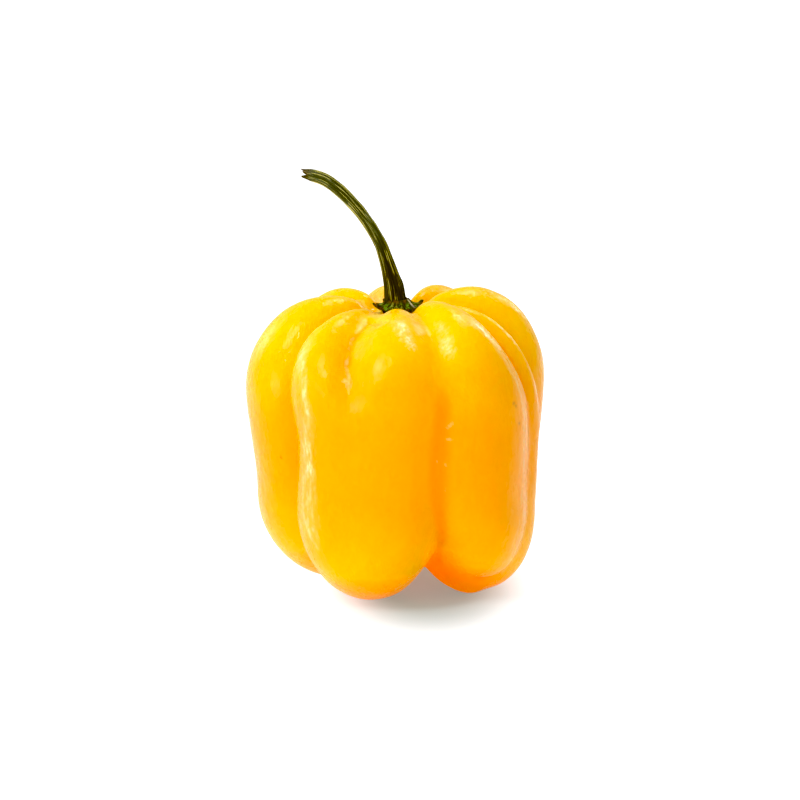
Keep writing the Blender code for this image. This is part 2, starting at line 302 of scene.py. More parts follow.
class ChilliStageSettings(bpy.types.PropertyGroup):
    table_colour: FloatVectorProperty(
        name="Table colour", description="Colour of the table", subtype="COLOR",
        size=3, min=0, max=1, default=(0.38, 0.38, 0.38),
    )
    # Painted shadow: the table's dim, tinted glow near the fruit stands in for the fruit's shadow on the
    # table.
    painted_shadow_glow: FloatVectorProperty(
        name="Table glow", description="Light that comes up through the table under the fruit",
        subtype="COLOR", size=3, min=0, max=2, default=(0.11, 0.235, 0.25),
    )
    table_bounce: FloatProperty(
        name="Table bounce", description="Light that the lit table throws onto the fruit",
        min=0, max=2, default=0.8,
    )
    key_power: FloatProperty(
        name="Light power", description="Power that each light's share is taken of", unit="POWER",
        min=0, default=2.8,
    )
    camera_distance: FloatProperty(
        name="Camera distance", description="From the lens to the fruit", unit="LENGTH",
        min=0.1, default=0.37,
    )
    camera_height: FloatProperty(
        name="Camera elevation", description="Angle of the view above level", subtype="ANGLE",
        default=math.radians(12),
    )
    lens: FloatProperty(
        name="Lens", description="Focal length on a 36 mm sensor", min=20, max=300, default=100.0,
    )


# ---------------------------------------------------------------- the skin of the fruit


def ease(t):
    """A smooth step, from 0 where t is 0 or less to 1 where it is 1 or more."""
    t = np.clip(t, 0, 1)
    return t * t * (3 - 2 * t)


def along(values, latitude):
    """A value given at the shoulder, the waist and the foot, eased between them."""
    shoulder, waist, foot = values
    top, middle, low = (math.radians(v) for v in (SHOULDER, WAIST, FOOT))
    down = ease((top - latitude) / (top - middle))
    further = ease((middle - latitude) / (middle - low))
    return shoulder + (waist - shoulder) * down + (foot - waist) * further


def ridge(lobe, steps=24):
    """The lobe's ridge line, from the middle of the calyx seat to the hollow's roof: out and height."""
    (crown_out, crown_z), (side_out, side_z) = lobe["crown"], lobe["side"]
    (hip_out, hip_z), (sole_out, sole_z) = lobe["hip"], lobe["sole"]
    u = np.linspace(0, 1, steps)
    turn = u * math.pi / 2
    dip = lobe["dip"] * np.sin(math.pi * u) ** 2
    stretches = (
        (u * SEAT_REACH, SEAT_Z + 0 * u),
        (crown_out - (crown_out - SEAT_REACH) * np.cos(turn), SEAT_Z + (crown_z - SEAT_Z) * np.sin(turn)),
        (crown_out + (side_out - crown_out) * np.sin(turn), side_z + (crown_z - side_z) * np.cos(turn)),
        (side_out + (hip_out - side_out) * ease(u) - dip, side_z + (hip_z - side_z) * u),
        (sole_out + (hip_out - sole_out) * np.cos(turn), hip_z - (hip_z - sole_z) * np.sin(turn)),
        (sole_out * (1 - u), sole_z + (HOLLOW_Z - sole_z) * ease(u)),
    )
    return np.vstack([np.column_stack(s)[:-1] for s in stretches[:-1]] + [np.column_stack(stretches[-1])])


def oval(off_ridge, depth, width):
    """An oval section's reach at an angle off its ridge, as a share of the ridge's; 0 past its edge."""
    cosine, sine = np.cos(off_ridge), np.sin(off_ridge)
    a = (cosine / depth) ** 2 + (sine / width) ** 2
    b = cosine * (1 - depth) / depth**2
    root = b * b - a * ((1 - depth) ** 2 / depth**2 - 1)
    return np.where((root > 0) & (cosine > 0), (b + np.sqrt(np.maximum(root, 0))) / a, 0.0)


def lobe_reach(lobe, bearing, latitude):
    """How far out the lobe's own skin lies in these directions, or 0 where it has none."""
    line = ridge(lobe)
    line_latitude = np.arctan2(line[:, 1] - CENTRE_Z, line[:, 0])
    line_reach = np.hypot(line[:, 1] - CENTRE_Z, line[:, 0])
    reach = np.interp(-latitude, -line_latitude, line_reach)
    off_ridge = bearing - np.radians(along(lobe["bearing"], latitude))
    off_ridge = (off_ridge + math.pi) % (2 * math.pi) - math.pi
    return reach * oval(off_ridge, along(LOBE_DEPTH, latitude), along(lobe["width"], latitude))


def core_reach(latitude):
    """How far out the flesh between the lobes lies: an oval, whose lower half is shorter."""
    upright = np.where(latitude > 0, CORE_TOP - CENTRE_Z, CENTRE_Z - CORE_BOTTOM)
    return 1 / np.sqrt((np.cos(latitude) / CORE_REACH) ** 2 + (np.sin(latitude) / upright) ** 2)


def floor_and_roof(latitude):
    """How far out the calyx seat's floor and the hollow's roof lie, both level, and how far they take over."""
    upright = np.where(latitude > 0, SEAT_Z - CENTRE_Z, CENTRE_Z - HOLLOW_Z)
    reach = upright / np.maximum(np.abs(np.sin(latitude)), 0.3)
    seat = math.atan2(SEAT_Z - CENTRE_Z, SEAT_REACH)
    above = ease((latitude - seat) / math.radians(4) + 0.5)
    below = ease((-latitude - math.radians(66)) / math.radians(20))
    return reach, np.maximum(above, below)


def skin(directions):
    """Points on the skin, in millimetres, in these directions from the centre point. With each point go the
    right foot's share of it, and how near it is to the middle of the front crease."""
    bearing = np.arctan2(directions[:, 1], directions[:, 0])
    latitude = np.arcsin(np.clip(directions[:, 2], -1, 1))
    lobe_reaches = [lobe_reach(lobe, bearing, latitude) for lobe in LOBES.values()]
    reaches = np.array([*lobe_reaches, core_reach(latitude)])
    most = reaches.max(0)
    off_crease = (np.degrees(bearing) - FRONT_CREASE + 180) % 360 - 180
    soft = CREASE_ROUND + (FRONT_ROUND - CREASE_ROUND) * np.exp(-((off_crease / FRONT_SPREAD) ** 2))
    shares = np.exp((reaches - most) / soft)
    reach = most + soft * np.log(shares.sum(0))  # a soft union
    shares /= shares.sum(0)
    names = list(LOBES)
    foot = shares[names.index("right_foot")]
    front_crease = 4 * shares[names.index("front_mid")] * shares[names.index("front_right")]
    level, taken = floor_and_roof(latitude)
    reach = reach * (1 - taken) + level * taken
    return np.array([0, 0, CENTRE_Z]) + directions * reach[:, None], foot, front_crease


def ball_of_squares(cuts):
    """A closed mesh of even squares on a sphere, from a divided cube."""
    bm = bmesh.new()
    bmesh.ops.create_cube(bm, size=2)
    bmesh.ops.subdivide_edges(bm, edges=bm.edges[:], cuts=cuts, use_grid_fill=True)
    for vert in bm.verts:
        vert.co = Vector([math.tan(v * math.pi / 4) for v in vert.co]).normalized()
    return bm


def vectors(collection, name="co"):
    out = np.empty(len(collection) * 3, np.float32)
    collection.foreach_get(name, out)
    return out.reshape(-1, 3).astype(float)


def edge_pairs(mesh):
    out = np.empty(len(mesh.edges) * 2, np.int32)
    mesh.edges.foreach_get("vertices", out)
    return out.reshape(-1, 2)


def mean_of_neighbours(values, pairs):
    total, count = np.zeros_like(values), np.zeros(len(values))
    for here, there in ((0, 1), (1, 0)):
        np.add.at(total, pairs[:, here], values[pairs[:, there]])
        np.add.at(count, pairs[:, here], 1)
    return total / (count[:, None] if values.ndim > 1 else count)


def put_attribute(mesh, name, values):
    mesh.attributes.new(name, "FLOAT", "POINT").data.foreach_set("value", np.asarray(values, np.float32))


def put_vectors(mesh, name, values):
    flat = np.asarray(values, np.float32).ravel()
    mesh.attributes.new(name, "FLOAT_VECTOR", "POINT").data.foreach_set("vector", flat)


def set_points(mesh, points):
    mesh.vertices.foreach_set("co", np.asarray(points, np.float32).ravel())
    mesh.update()


def add_unevenness(mesh):
    """Slow swells and shallow dimples in the skin, so that a highlight breaks up as on a real fruit."""
    points, normals = vectors(mesh.vertices), vectors(mesh.vertices, "normal")
    push = np.empty(len(points))
    for number, p in enumerate(points / MM):
        v = Vector(p)
        slow = noise.noise(Vector((v.x, v.y, v.z * 0.6)) * 0.11)
        dimple = noise.noise(Vector((v.x, v.y, v.z * 0.55)) * 0.34 + Vector((9, 4, 2)))
        fine = noise.noise(Vector((v.x * 1.1, v.y * 1.1, v.z * 0.35)) * 0.9 + Vector((3, 7, 5)))
        push[number] = 0.22 * slow + 0.07 * dimple + 0.022 * fine
    upright = np.clip(points[:, 2] / MM / 3.0, 0, 1)  # the feet stay level
    set_points(mesh, points + normals * (push * upright * MM)[:, None])


def crease_depth(mesh):
    """From 0 on a swelling to 1 in a crease: how far the skin lies inside a smoothed copy of itself."""
    points, normals, pairs = vectors(mesh.vertices) / MM, vectors(mesh.vertices, "normal"), edge_pairs(mesh)
    smooth = points
    for _ in range(45):
        smooth = 0.5 * smooth + 0.5 * mean_of_neighbours(smooth, pairs)
    hollow = ((smooth - points) * normals).sum(1) - 0.02
    for _ in range(4):
        hollow = 0.5 * hollow + 0.5 * mean_of_neighbours(hollow, pairs)
    return np.clip(hollow / 0.20, 0, 1)


def hiddenness(mesh):
    """How much of the sky is shut off from each point by the fruit itself and by the table, from 0 to 1."""
    points, normals = vectors(mesh.vertices), vectors(mesh.vertices, "normal")
    tree = BVHTree.FromPolygons(points.tolist(), [p.vertices[:] for p in mesh.polygons])
    count = 14
    z = 1 - (2 * np.arange(count) + 1) / count
    turn = math.pi * (3 - math.sqrt(5)) * np.arange(count)
    rays = np.column_stack([np.sqrt(1 - z * z) * np.cos(turn), np.sqrt(1 - z * z) * np.sin(turn), z])
    facing = normals @ rays.T
    out = np.zeros(len(points))
    for number, (point, normal) in enumerate(zip(points, normals)):
        start, total, shut = Vector(point + normal * 0.15 * MM), 0.0, 0.0
        for ray, dot in zip(rays, facing[number]):
            if dot < 0.15:
                continue
            total += dot
            if ray[2] < 0 and point[2] / -ray[2] < 12 * MM:
                shut += 0.7 * dot
            elif tree.ray_cast(start, Vector(ray), 15 * MM)[0] is not None:
                shut += dot
        out[number] = shut / total
    pairs = edge_pairs(mesh)
    for _ in range(8):
        out = 0.5 * out + 0.5 * mean_of_neighbours(out, pairs)
    return out


def on_front(front, x, z):
    """The place on the skin's front that lies behind this x and z."""
    away = (front[:, 0] - x) ** 2 + (front[:, 2] - z) ** 2
    near = np.flatnonzero(away < max(0.2, away.min() * 1.01))
    near = near[front[near, 1] < front[near, 1].min() + 1.0]
    weights = 1 / (away[near] + 0.005)
    return (front[near] * weights[:, None]).sum(0) / weights.sum()


def marks(points, normals, table):
    """How much of the table's marks is on each point of the skin."""
    places = points / MM
    front = places[(normals[:, 1] < -0.2) & (points[:, 1] < 0)]
    out = np.zeros(len(points))
    for start, end, width, strength in table:
        steps = 2 + int(math.dist(start, end))
        line = [on_front(front, x, z) for x, z in np.linspace(start, end, steps)]
        for here, there in zip(line, line[1:]):
            run = there - here
            t = np.clip((places - here) @ run / max(run @ run, 1e-9), 0, 1)
            away = np.linalg.norm(places - here - t[:, None] * run, axis=1)
            out = np.maximum(out, strength * np.exp(-((away / width) ** 2)))
    return out


def painted_highlight_streaks(points, normals):
    """The painted highlight streaks, broken up into short lengths."""
    out = marks(points, normals, PAINTED_HIGHLIGHT_STREAKS)
    for number in np.flatnonzero(out > 0.03):
        x, y, z = points[number] / MM
        gaps = noise.noise(Vector((1.5 * x, 1.5 * y, 0.35 * z)))
        gaps += 0.5 * noise.noise(Vector((3.1 * x, 3.1 * y, 0.9 * z)))
        out[number] *= 0.25 + 0.75 * float(ease((gaps + 0.05) / 0.35))
    return out


def painted_crease_shade(points, bearing, depth, front_crease, groove):
    """How far each point takes the painted crease shade: less high in front, on the left and near the calyx.
    """
    z = points[:, 2] / MM
    front_high = 0.75 * np.exp(-(((bearing + 72) / 20) ** 2)) * ease((z - 34) / 7)
    left_flank = 0.7 * np.exp(-(((bearing + 148) / 14) ** 2))
    by_calyx = 0.6 * ease((z - 43.5) / 2)
    faint = (1 - front_high) * (1 - left_flank) * (1 - by_calyx)
    down_front = 0.8 * front_crease * ease((41 - z) / 8)
    return np.maximum(0.65 * faint * depth, np.maximum(down_front, 0.7 * groove))


def new_piece(name, mesh, node):
    obj = bpy.data.objects.new(name, mesh)
    bpy.context.scene.collection.objects.link(obj)
    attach(obj, "root")
    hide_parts(node)
    return obj


# ---------------------------------------------------------------- materials


class Nodes:
    """A small helper that adds and links the nodes of one material."""

    def __init__(self, name):
        self.material = bpy.data.materials.new(name)
        self.material.use_nodes = True
        self.tree = self.material.node_tree
        self.shader = self.tree.nodes["Principled BSDF"]

    def add(self, kind, **values):
        node = self.tree.nodes.new("ShaderNode" + kind)
        for key, value in values.items():
            setattr(node, key, value)
        return node

    def put(self, socket, value):
        if isinstance(value, bpy.types.NodeSocket):
            self.tree.links.new(value, socket)
        else:
            socket.default_value = value

    def set(self, **values):
        """Sets or links the shader's own inputs: Base_Color stands for Base Color, and so on."""
        for name, value in values.items():
            self.put(self.shader.inputs[name.replace("_", " ")], value)

    def maths(self, operation, first, second):
        node = self.add("Math", operation=operation)
        self.put(node.inputs[0], first)
        self.put(node.inputs[1], second)
        return node.outputs[0]

    def times(self, first, second):
        return self.maths("MULTIPLY", first, second)

    def vary(self, value, clouds, amount):
        """The value, more or less by up to half of this amount as the clouds go."""
        return self.maths("ADD", value, self.times(self.maths("SUBTRACT", clouds, 0.5), amount))

    def ramp(self, value, low, high, to_low=0.0, to_high=1.0):
        node = self.add("MapRange", interpolation_type="SMOOTHSTEP")
        for number, item in enumerate((value, low, high, to_low, to_high)):
            self.put(node.inputs[number], item)
        return node.outputs[0]

    def mix(self, factor, first, second):
        node = self.add("Mix", data_type="RGBA")
        self.put(node.inputs[0], factor)
        self.put(node.inputs[6], first if isinstance(first, bpy.types.NodeSocket) else (*first, 1))
        self.put(node.inputs[7], second if isinstance(second, bpy.types.NodeSocket) else (*second, 1))
        return node.outputs[2]

    def attribute(self, name):
        return self.add("Attribute", attribute_name=name).outputs["Fac"]

    def place(self):
        return self.add("TexCoord").outputs["Object"]

    def stretch(self, vector, scale):
        node = self.add("Mapping")
        self.put(node.inputs["Vector"], vector)
        node.inputs["Scale"].default_value = scale
        return node.outputs[0]

    def clouds(self, vector, scale, detail=2.0, rough=0.5):
        node = self.add("TexNoise")
        self.put(node.inputs["Vector"], vector)
        node.inputs["Scale"].default_value = scale
        node.inputs["Detail"].default_value = detail
        node.inputs["Roughness"].default_value = rough
        return node.outputs["Fac"]

    def cells(self, vector, scale):
        node = self.add("TexVoronoi")
        self.put(node.inputs["Vector"], vector)
        node.inputs["Scale"].default_value = scale
        return node.outputs["Distance"]

    def bump(self, height, strength, distance, normal=None):
        node = self.add("Bump")
        node.inputs["Strength"].default_value = strength
        node.inputs["Distance"].default_value = distance
        self.put(node.inputs["Height"], height)
        if normal is not None:
            self.put(node.inputs["Normal"], normal)
        return node.outputs[0]


def skin_material(settings):
    """Waxy skin: yellow shoulders and orange sides; creases and feet red-orange with painted shade, a painted
    glow low down, specks, pale scars, painted highlights and painted rim lines.
    """
    nodes = Nodes("waxy_pepper_skin")
    place = nodes.place()
    height, hidden = nodes.attribute("height"), nodes.attribute("hidden")

    patches = nodes.clouds(place, 70, 3)
    wander = nodes.vary(height, patches, 0.35)
    colour = nodes.mix(nodes.ramp(wander, 0.55, 1.02), settings.side_colour, settings.shoulder_colour)
    # Low on the swellings the skin turns yellow, but not where it is hidden from the sky, so that the painted
    # shade there stays orange.
    open_low = nodes.times(nodes.ramp(wander, 0.42, 0.08), nodes.ramp(hidden, 0.60, 0.30))
    colour = nodes.mix(open_low, colour, settings.hip_colour)
    # Painted shade: the creases, by their depth, and the front crease and the groove by the calyx, go towards
    # the deeper orange.
    crease_shade = nodes.ramp(nodes.vary(nodes.attribute("crease"), patches, 0.25), 0.15, 0.8)
    colour = nodes.mix(nodes.times(crease_shade, 0.6), colour, settings.painted_shade_orange)
    # Painted shade: low places hidden from the sky go deeper orange.
    painted_shade_low = nodes.times(nodes.ramp(hidden, 0.30, 0.75), nodes.ramp(height, 0.35, 0.12, 0.2, 0.3))
    colour = nodes.mix(painted_shade_low, colour, settings.painted_shade_orange)
    # Painted shade: the right foot, under the front right lobe, goes deeper orange.
    colour = nodes.mix(nodes.attribute("right_foot_shade"), colour, settings.painted_shade_orange)

    dots = nodes.ramp(nodes.cells(place, 210), 0.030, 0.050, 1.0, 0.0)
    few = nodes.maths("GREATER_THAN", nodes.clouds(place, 130, 1), 0.70)
    colour = nodes.mix(nodes.times(nodes.times(dots, few), 0.6), colour, SPECK)
    grain = nodes.clouds(nodes.stretch(place, (1, 1, 0.5)), 2400, rough=0.6)
    grain_breakup = nodes.ramp(grain, 0.35, 0.62, 0.25, 0.9)
    # Pale cream on the scars beside the front crease, and painted highlights on the front left lobe, in the
    # dip and on the shoulders, broken up by a fine grain.
    colour = nodes.mix(nodes.times(nodes.attribute("pale"), grain_breakup), colour, SCAR_AND_HIGHLIGHT_CREAM)
    # Painted reflections: fine pale lines along the lobes' edges.
    rim_reflection = nodes.times(nodes.attribute("rim_reflection"), nodes.times(grain_breakup, 0.75))
    colour = nodes.mix(rim_reflection, colour, RIM_REFLECTION_CREAM)
    colour = nodes.mix(nodes.attribute("brown"), colour, SCAB)

    # Painted glow: the skin emits light low down where it is hidden from the sky.
    painted_glow = nodes.times(nodes.ramp(hidden, 0.08, 0.62), nodes.ramp(height, 0.60, 0.15))
    bloom = nodes.clouds(nodes.stretch(place, (1, 1, 0.4)), 420, 3, 0.6)
    streaks = nodes.clouds(nodes.stretch(place, (1, 1, 0.45)), 1100)
    pores = nodes.clouds(nodes.stretch(place, (1, 1, 0.7)), 2800)
    nodes.set(
        Base_Color=colour,
        Emission_Color=nodes.mix(painted_glow, (0, 0, 0), settings.painted_glow_colour),
        Emission_Strength=1.0,
        Roughness=nodes.ramp(bloom, 0.3, 0.7, settings.gloss - 0.05, settings.gloss + 0.09),
        IOR=1.37,
        Specular_Tint=(1.0, 0.92, 0.60, 1),
        Subsurface_Weight=settings.glow,
        Subsurface_Radius=(1.0, 0.35, 0.05),
        Subsurface_Scale=settings.glow_depth,
        Normal=nodes.bump(pores, 0.9, 0.05 * MM, nodes.bump(streaks, 0.8, 0.13 * MM)),
    )
    return nodes.material


def stalk_material(name, green, line_colour, settings, blotched=0.0):
    """Green with dark furrows and yellow lines along it, brown where dry and like bark where worn; on the stem
    the brown and dark also hold painted shade on one side, and a yellow line is partly a painted reflection.
    Where it is blotched it also has dark patches, bright green spots and rust."""
    nodes = Nodes(name)
    grain = nodes.add("Attribute", attribute_name="grain").outputs["Vector"]
    dry = nodes.attribute("dry")
    fibres = nodes.clouds(nodes.stretch(grain, (1, 1, 0.14)), 9.0, 3, 0.65)
    mottle = nodes.clouds(nodes.place(), 1100, 3, 0.6)
    blotch = nodes.clouds(nodes.place(), 1300, rough=0.6)
    colour = nodes.mix(nodes.ramp(fibres, 0.35, 0.65), [0.72 * c for c in green], [1.25 * c for c in green])
    colour = nodes.mix(nodes.maths("MINIMUM", dry, 1.0), colour, DRY_LEAF)
    colour = nodes.mix(nodes.times(nodes.attribute("light"), 0.8), colour, settings.ridge)
    if blotched:
        patches = nodes.times(nodes.ramp(blotch, 0.50, 0.43), blotched)
        colour = nodes.mix(patches, colour, settings.dried)
    colour = nodes.mix(nodes.attribute("dark"), colour, settings.dried)
    if blotched:
        spots = nodes.times(nodes.ramp(blotch, 0.55, 0.61), nodes.ramp(dry, 0.85, 0.35))
        colour = nodes.mix(nodes.times(spots, blotched), colour, LEAF_SPOT)
        rusty = nodes.times(nodes.ramp(mottle, 0.46, 0.58), nodes.ramp(dry, 0.60, 0.95))
        colour = nodes.mix(nodes.times(rusty, blotched), colour, RUST)
    colour = nodes.mix(nodes.attribute("edge"), colour, line_colour)
    bark = nodes.mix(nodes.ramp(mottle, 0.42, 0.62), BARK_DARK, BARK_LIGHT)
    relief = nodes.maths("ADD", fibres, nodes.times(mottle, 0.3))
    nodes.set(
        Base_Color=nodes.mix(nodes.attribute("worn"), colour, bark),
        Roughness=nodes.ramp(fibres, 0.3, 0.7, 0.62, 0.42),
        Specular_IOR_Level=0.12,
        Normal=nodes.bump(relief, 0.9, 0.14 * MM),
    )
    return nodes.material


def table_material(settings):
    """A white table that glows as if lit from below as well, but dimly near the fruit's feet: a painted
    shadow.
    """
    nodes = Nodes("white_table")
    uneven = nodes.times(nodes.clouds(nodes.place(), 3), 0.02)
    off = nodes.add("VectorMath", operation="SUBTRACT")
    nodes.put(off.inputs[0], nodes.place())
    nodes.put(off.inputs[1], PAINTED_SHADOW_MIDDLE * MM)
    out = nodes.add("VectorMath", operation="LENGTH")
    nodes.put(out.inputs[0], nodes.stretch(off.outputs[0], (1, 0.6, 1)))
    # Painted shadow: the glow is dim within 6 mm of the shadow's middle and full past 20 mm.
    away = nodes.ramp(out.outputs["Value"], 6 * MM, 20 * MM)
    seen = nodes.add("LightPath").outputs["Is Camera Ray"]
    far = nodes.mix(seen, (settings.table_bounce,) * 3, TABLE_WHITE)
    nodes.set(
        Base_Color=nodes.mix(uneven, settings.table_colour, (0.8, 0.8, 0.8)),
        Emission_Color=nodes.mix(away, settings.painted_shadow_glow, far),
        Emission_Strength=1.0,
        Roughness=0.9,
        Specular_IOR_Level=0.1,
    )
    return nodes.material


# ---------------------------------------------------------------- the pieces


def smooth_line(points, per_span):
    """A smooth curve through these rows, with per_span steps between each two."""
    rows = np.array(points, float)
    ends = np.vstack([2 * rows[0] - rows[1], rows, 2 * rows[-1] - rows[-2]])
    out = []
    for i in range(1, len(ends) - 2):
        a, b, c, d = ends[i - 1 : i + 3]
        square, cube = 2 * a - 5 * b + 4 * c - d, 3 * b - a - 3 * c + d
        for t in np.linspace(0, 1, per_span, endpoint=False):
            out.append(0.5 * (2 * b + (c - a) * t + square * t * t + cube * t**3))
    out.append(rows[-1])
    return np.array(out)


def loft(rings, close_ends, close_loop=False):
    """A mesh through rings of points, each ring a row of the same count."""
    bm = bmesh.new()
    verts = [[bm.verts.new(p) for p in ring] for ring in rings]
    count = len(verts[0])
    pairs = list(zip(verts, verts[1:])) + ([(verts[-1], verts[0])] if close_loop else [])
    for low, high in pairs:
        for i in range(count):
            j = (i + 1) % count
            bm.faces.new((low[i], low[j], high[j], high[i]))
    if close_ends:
        for ring, inward in close_ends:
            middle = bm.verts.new(inward)
            row = verts[ring]
            for i in range(count):
                j = (i + 1) % count
                bm.faces.new((row[i], row[j], middle))
    bmesh.ops.recalc_face_normals(bm, faces=bm.faces)
    return bm


def finished_mesh(name, bm):
    mesh = bpy.data.meshes.new(name)
    bm.to_mesh(mesh)
    bm.free()
    mesh.shade_smooth()
    return mesh


class CHILLI_OT_fruit(bpy.types.Operator):
    """Builds the fruit's lobed skin with its creases, dimples and level feet"""

    bl_idname = "chilli.fruit"
    bl_label = "Fruit"

    def execute(self, context):
        settings = context.scene.chilli_fruit
        bm = ball_of_squares(settings.cuts)
        directions = np.array([v.co[:] for v in bm.verts])
        points, foot, front_crease = skin(directions)
        for vert, point in zip(bm.verts, points):
            vert.co = point * MM
        mesh = finished_mesh("fruit_skin", bm)
        pairs = edge_pairs(mesh)
        points = vectors(mesh.vertices)
        for _ in range(3):
            points = 0.5 * points + 0.5 * mean_of_neighbours(points, pairs)
        set_points(mesh, points)
        add_unevenness(mesh)
        points, normals = vectors(mesh.vertices), vectors(mesh.vertices, "normal")
        groove = marks(points, normals, GROOVES)
        points -= normals * (groove * MM)[:, None]
        points[:, 2] = np.maximum(points[:, 2], 0)
        set_points(mesh, points)
        bearing = np.degrees(np.arctan2(points[:, 1], points[:, 0]))
        # Painted shade for the creases, kept in the attribute named crease.
        crease_shade = painted_crease_shade(points, bearing, crease_depth(mesh), front_crease, groove)
        put_attribute(mesh, "crease", crease_shade)
        put_attribute(mesh, "hidden", hiddenness(mesh))
        # Painted shade on the right foot, fading towards the front.
        put_attribute(mesh, "right_foot_shade", foot * (1 - 0.75 * ease((bearing + 58) / 40)))
        put_attribute(mesh, "height", points[:, 2] / (49 * MM))
        normals = vectors(mesh.vertices, "normal")
        # Pale marks: the scars, and the painted highlight streaks.
        pale = np.maximum(marks(points, normals, PALE_MARKS), painted_highlight_streaks(points, normals))
        put_attribute(mesh, "pale", pale)
        # Painted reflections along the lobes' edges.
        put_attribute(mesh, "rim_reflection", marks(points, normals, RIM_REFLECTION_LINES))
        put_attribute(mesh, "brown", marks(points, normals, BROWN_SPECKS))
        obj = new_piece("fruit_skin", mesh, "fruit")
        obj.data.materials.append(skin_material(settings))
        return {"FINISHED"}


def veins(round_about, onwards, seed):
    """Dark and light lengthwise lines at a place on a stalk: how dark and how light, each from 0 to 1."""
    v = 0.8 * noise.noise(Vector((*(4.2 * c for c in round_about), 0.7 * onwards + seed)))
    v += 0.9 * noise.noise(Vector((*(9.5 * c for c in round_about), 1.1 * onwards + seed + 5)))
    return ease((0.10 - v) / 0.10), ease((v - 0.24) / 0.07)


class CHILLI_OT_stem(bpy.types.Operator):
    """Builds the ribbed stem with its dried, torn end"""

    bl_idname = "chilli.stem"
    bl_label = "Stem"

    def execute(self, context):
        settings = context.scene.chilli_stem
        line = smooth_line(STEM_LINE, STEM_RINGS)
        count = len(line)
        tangents = np.gradient(line[:, :3], axis=0)
        tangents /= np.linalg.norm(tangents, axis=1)[:, None]
        across = np.array([0.0, 1.0, 0.0])
        turn = np.linspace(0, 2 * math.pi, STEM_STEPS, endpoint=False)
        circle = list(zip(np.cos(turn), np.sin(turn)))
        # Painted shade: one side of the stem is made browner and darker in its lower half, and its light lines
        # dimmer.
        shaded = 0.5 + 0.5 * np.cos(turn - math.radians(235))
        # Partly a painted reflection: the yellow line on the stem's lower left side is a ridge line and also
        # stands in for light thrown up from the fruit.
        lower_line_and_bounce = 1.2 * np.exp(-(((np.degrees(turn) - 100) / 11) ** 2))
        over_line = 0.6 * np.exp(-(((np.degrees(turn) - 262) / 9) ** 2))
        rings, grain = [], []
        values = {name: [] for name in STALK_LAYERS}
        for i, (row, tangent) in enumerate(zip(line, tangents)):
            s = i / (count - 1)  # 0 at the calyx and 1 at the dried end
            side = across - tangent * (across @ tangent)
            side /= np.linalg.norm(side)
            up = np.cross(tangent, side)
            twist = turn + 0.15 * s
            main = 0.5 + 0.5 * np.cos(settings.ribs * twist + 1.68 + 0.3 * np.sin(turn * 2 + 1))
            thin = 0.5 + 0.5 * np.cos(19 * twist + 1.3 * np.sin(3 * turn) + 2 * math.sin(5 * s))
            wobble = np.array([noise.noise(Vector((1.5 * x, 1.5 * y, s * 16))) for x, y in circle])
            dark, light = np.array([veins(place, 9 * s, 2.0) for place in circle]).T
            hair = np.cos(29 * twist + 2.4 * np.sin(2 * turn + 7 * s) + 1.5 * wobble)
            dark = np.maximum(0.8 * dark, 0.75 * ease((-hair - 0.1) / 0.6))
            light = light * ease((hair + 0.5) / 0.6)

            lift = 0.20 * (main**1.5 - 0.75) + 0.06 * (thin - 0.5) - 0.05 * dark
            radius = row[3] * (1 + lift + 0.06 * wobble)
            torn = max(0.0, (s - 0.94) / 0.06)
            ragged = 0.42 * np.cos(2 * (turn - 1.45)) + 0.25 * np.cos(5 * turn + 1) + 0.5 * wobble
            outward = np.cos(turn)[:, None] * side + np.sin(turn)[:, None] * up
            ring = row[:3] + radius[:, None] * outward + (torn**1.5 * ragged)[:, None] * tangent
            rings.append(ring * MM)

            low = ease((0.50 - s) / 0.3)
            darkened = 0.75 * low * shaded * (1 - 0.8 * light)
            fresh = 1 - 0.4 * ease((s - 0.78) / 0.15)
            lines = lower_line_and_bounce * ease((s - 0.15) / 0.2) + over_line * ease((s - 0.3) / 0.2)
            lines = lines * ease((0.93 - s) / 0.05) * (0.8 + 0.6 * wobble)
            values["dry"].append(low * (0.65 + 0.45 * shaded))
            values["worn"].append(np.full(STEM_STEPS, 0.95 * ease((s - 0.91) / 0.07)))
            values["dark"].append(np.clip(fresh * (0.9 * dark + darkened), 0, 1))
            values["light"].append(light * (1 - 0.35 * low * shaded))
            values["edge"].append(np.clip(lines, 0, 1))
            grain.append(np.column_stack([np.cos(turn), np.sin(turn), np.full(STEM_STEPS, s * 12)]))
        start = line[0, :3] * MM
        end = (line[-1, :3] - 0.7 * tangents[-1]) * MM
        mesh = finished_mesh("stem_stalk", loft(rings, [(0, start), (count - 1, end)]))
        for name, rows in values.items():
            put_attribute(mesh, name, np.append(np.concatenate(rows), [0.0, float(name == "worn")]))
        put_vectors(mesh, "grain", np.vstack([*grain, [0, 0, 0], [0, 0, 12]]))
        obj = new_piece("stem_stalk", mesh, "stem")
        obj.data.materials.append(stalk_material("ribbed_stalk", settings.green, settings.ridge, settings))
        return {"FINISHED"}


